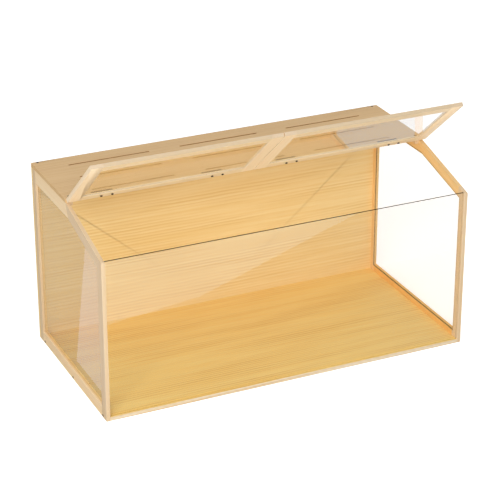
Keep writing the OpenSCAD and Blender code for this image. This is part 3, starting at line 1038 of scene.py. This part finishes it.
@dataclass
class ClearPane:
    """A sheet of clear acrylic in place of a plain pane, with broken, sawn edges."""

    node: bpy.types.Object
    body: str
    edge_break: float = 1.1 * MM
    flat_angle: float = math.radians(1)
    # How squarely a face looks out of the sheet if it is one of the polished two, as a cosine
    square_on: float = 0.999

    def build(self) -> bpy.types.Object:
        """Builds the sheet from the pane's own outline.

        Returns:
            The new piece, riding on the pane's body.
        """
        shape = bmesh.new()
        shape.from_mesh(self.node.data)
        bmesh.ops.remove_doubles(shape, verts=shape.verts, dist=SAME_POINT)
        bmesh.ops.dissolve_limit(
            shape,
            angle_limit=self.flat_angle,
            use_dissolve_boundaries=False,
            verts=shape.verts,
            edges=shape.edges,
        )
        through = max(shape.faces, key=lambda face: face.calc_area()).normal.copy()
        bmesh.ops.bevel(
            shape,
            geom=shape.edges[:],
            offset=self.edge_break,
            offset_type="OFFSET",
            segments=BREAK_STEPS,
            profile=0.5,
            affect="EDGES",
            material=-1,
            clamp_overlap=True,
        )
        bmesh.ops.recalc_face_normals(shape, faces=shape.faces)
        for face in shape.faces:
            face.material_index = 0 if abs(face.normal.dot(through)) > self.square_on else 1
        polished = ACRYLIC.face(self.node.name)
        shaded_edges = ACRYLIC.edge(self.node.name)
        sheet = place_shape(f"{self.node.name}_sheet", shape, polished, shaded_edges)
        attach(sheet, self.body)
        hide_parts(self.node.name)
        LOG.info("%s rides on %s", sheet.name, self.body)
        return sheet


@dataclass(frozen=True)
class FloorCard:
    """A card or flag flat on the studio's floor, which shows only in reflections."""

    name: str
    colour: Colour
    level: float
    height: float
    corners: tuple[tuple[float, float], ...]

    def lay(self) -> None:
        """Lays the card down. It lights nothing and casts no shadow."""
        material, wiring = bare_material(self.name)
        material.cycles.emission_sampling = "NONE"
        glow = wiring.add("ShaderNodeEmission")
        glow.inputs["Color"].default_value = self.colour
        glow.inputs["Strength"].default_value = self.level
        wiring.feed(wiring.surface, glow.outputs[0])
        shape = bmesh.new()
        shape.faces.new([shape.verts.new((x, y, self.height)) for x, y in self.corners])
        card = place_shape(self.name, shape, material)
        card.visible_camera = False
        card.visible_diffuse = False
        card.visible_transmission = False
        card.visible_shadow = False


FLOOR_CARDS = (
    FloorCard(
        name="dark_flag",
        colour=(0.02, 0.02, 0.02, 1.0),
        level=1.0,
        height=FLAG_HEIGHT,
        corners=((-20.0, -20.0), (20.0, -20.0), (20.0, 20.0), (-20.0, 20.0)),
    ),
    FloorCard(
        name="front_card",
        colour=(0.3, 0.75, 1.0, 1.0),
        level=2.0,
        height=CARD_HEIGHT,
        corners=((-0.6, -0.665), (-0.6, -1.3), (0.66, -1.3), (0.66, -1.1), (-0.016, -0.771)),
    ),
    FloorCard(
        name="left_card",
        colour=(0.5, 0.65, 1.0, 1.0),
        level=0.7,
        height=CARD_HEIGHT,
        corners=((-0.53, -0.045), (-0.53, 0.08), (-0.9, 0.99), (-1.5, 0.99), (-1.5, -0.5), (-0.53, -0.5)),
    ),
    FloorCard(
        name="right_card",
        colour=WHITE,
        level=1.05,
        height=CARD_HEIGHT,
        corners=((0.6, -0.4), (1.6, -0.4), (1.6, 1.0), (0.6, 1.0)),
    ),
)


@dataclass
class Studio:
    """The floor, the surroundings, the lamp and the camera."""

    # The camera's place and lens, fitted to the straight edges of the cage
    azimuth: float = math.radians(-24.8977)
    elevation: float = math.radians(24.9615)
    distance: float = 4.91466
    aim: Vector = field(default_factory=lambda: Vector((0.00206, 0.0011, 0.26061)))
    focal_pixels: float = 1890.8
    picture_pixels: float = 500.0
    sensor: float = 36.0
    far_limit: float = 100.0
    # Light levels, where 1 shows a colour as it is written
    horizon_level: float = 0.15
    zenith_level: float = 0.78
    key_level: float = 0.72
    key_azimuth: float = math.radians(-33)
    key_elevation: float = math.radians(22)
    key_distance: float = 5.0
    key_size: float = 3.0
    seen_level: float = 1.0
    floor_albedo: float = 0.9
    floor_glow: float = 0.6
    # The level of the floor that one pane mirrors through another
    mirrored_level: float = 0.6
    floor_size: float = 40.0
    cards: tuple[FloorCard, ...] = FLOOR_CARDS

    def towards(self, azimuth: float, elevation: float) -> Vector:
        """Gives the direction from the cage towards a viewer or a lamp."""
        flat = math.cos(elevation)
        return Vector((math.sin(azimuth) * flat, -math.cos(azimuth) * flat, math.sin(elevation)))

    def build(self) -> None:
        """Builds everything around the cage."""
        self.floor()
        for card in self.cards:
            card.lay()
        self.surroundings()
        self.key_lamp()
        self.camera()

    def camera(self) -> None:
        """Places the camera at the viewing angle of the picture."""
        data = bpy.data.cameras.new("camera")
        data.sensor_width = self.sensor
        data.lens = self.focal_pixels / self.picture_pixels * self.sensor
        data.clip_end = self.far_limit
        camera = bpy.data.objects.new("camera", data)
        camera.location = self.aim + self.towards(self.azimuth, self.elevation) * self.distance
        camera.rotation_euler = (math.pi / 2 - self.elevation, 0.0, self.azimuth)
        bpy.context.scene.collection.objects.link(camera)
        bpy.context.scene.camera = camera

    def key_lamp(self) -> None:
        """Hangs one large soft lamp in front of the cage."""
        data = bpy.data.lights.new("key_lamp", "AREA")
        data.shape = "SQUARE"
        data.size = self.key_size
        data.energy = self.key_level * (math.pi * self.key_distance) ** 2
        lamp = bpy.data.objects.new("key_lamp", data)
        back = self.towards(self.key_azimuth, self.key_elevation)
        lamp.location = self.aim + back * self.key_distance
        lamp.rotation_euler = back.to_track_quat("Z", "Y").to_euler()
        lamp.visible_camera = False
        bpy.context.scene.collection.objects.link(lamp)

    def surroundings(self) -> None:
        """Lights the cage softly, mostly from above, with white behind it."""
        world = bpy.data.worlds.new("studio")
        world.use_nodes = True
        bpy.context.scene.world = world
        wiring = Wiring(world.node_tree)
        _, _, height = wiring.split(wiring.add("ShaderNodeTexCoord").outputs["Generated"])
        light = world.node_tree.nodes["Background"]
        light.inputs["Color"].default_value = WHITE
        level = wiring.rise(height, 0.0, 1.0, self.horizon_level, self.zenith_level)
        wiring.feed(light.inputs["Strength"], level)
        seen = wiring.add("ShaderNodeBackground")
        seen.inputs["Color"].default_value = WHITE
        seen.inputs["Strength"].default_value = self.seen_level
        mixed = wiring.mix_shaders(wiring.seen_directly(), light.outputs[0], seen.outputs[0])
        wiring.feed(world.node_tree.nodes["World Output"].inputs["Surface"], mixed)

    def floor(self) -> None:
        """Lays a plain white floor that keeps the cage's shadow."""
        material, wiring = bare_material("pale_floor")
        paint = wiring.add("ShaderNodeBsdfDiffuse")
        paint.inputs["Color"].default_value = (self.floor_albedo,) * 3 + (1.0,)
        glow = wiring.add("ShaderNodeEmission")
        level = wiring.maths("MULTIPLY", wiring.seen_directly(), self.floor_glow)
        wiring.feed(glow.inputs["Strength"], level)
        plain = wiring.both_shaders(paint.outputs[0], glow.outputs[0])
        mirrored = wiring.add("ShaderNodeEmission")
        mirrored.inputs["Strength"].default_value = self.mirrored_level
        turns = wiring.add("ShaderNodeLightPath").outputs["Glossy Depth"]
        in_mirror = wiring.maths("MINIMUM", turns, 1.0)
        wiring.feed(wiring.surface, wiring.mix_shaders(in_mirror, plain, mirrored.outputs[0]))
        shape = bmesh.new()
        bmesh.ops.create_grid(shape, x_segments=1, y_segments=1, size=self.floor_size / 2)
        bmesh.ops.translate(shape, verts=shape.verts, vec=(0.0, 0.0, FLOOR_HEIGHT))
        floor = place_shape("floor", shape, material)


def main() -> None:
    """Dresses the cage part by part and puts it in its studio."""
    logging.basicConfig(level=logging.INFO, format="%(name)s: %(message)s")
    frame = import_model()
    nodes = frame["nodes"]
    bodies = frame["record"]["behaviour"]["bodies"]
    body_of = {name: body for body, members in bodies.items() for name in members}
    bpy.context.scene.view_settings.view_transform = "Standard"

    Panels(nodes).dress()
    # The right frame's members take warmer copies of the frame wood as painted bounce light, and the left
    # frame's top and bottom rails a paler copy as painted light
    other_woods = {
        Side.LEFT: {name: EXTRA_LIT_FRAME_WOOD for name in ("top_rail", "bottom_rail")},
        Side.RIGHT: {
            "back_post": BOUNCE_LIT_FRAME_WOOD,
            "top_rail": BOUNCE_LIT_FRAME_WOOD,
            "sloping_rail": BOUNCE_LIT_FRAME_WOOD,
            "bottom_rail": STRONG_BOUNCE_LIT_FRAME_WOOD,
        },
    }
    # Each frame and each door takes its board numbers from a ten of its own
    frame_boards = {Side.LEFT: 10, Side.RIGHT: 20}
    door_boards = {Side.LEFT: 30, Side.RIGHT: 40}
    for side in Side:
        SideFrame(nodes, side, frame_boards[side], other_woods=other_woods[side]).dress()
        RoofDoor(nodes, side, door_boards[side]).dress()
    Hardware(nodes).dress()
    panes = ["front_pane"] + [f"{side.word}_{kind}_pane" for side in Side for kind in ("side", "door")]
    for name in panes:
        ClearPane(nodes[name], body_of[name]).build()
    Studio().build()


if __name__ == "__main__":
    main()
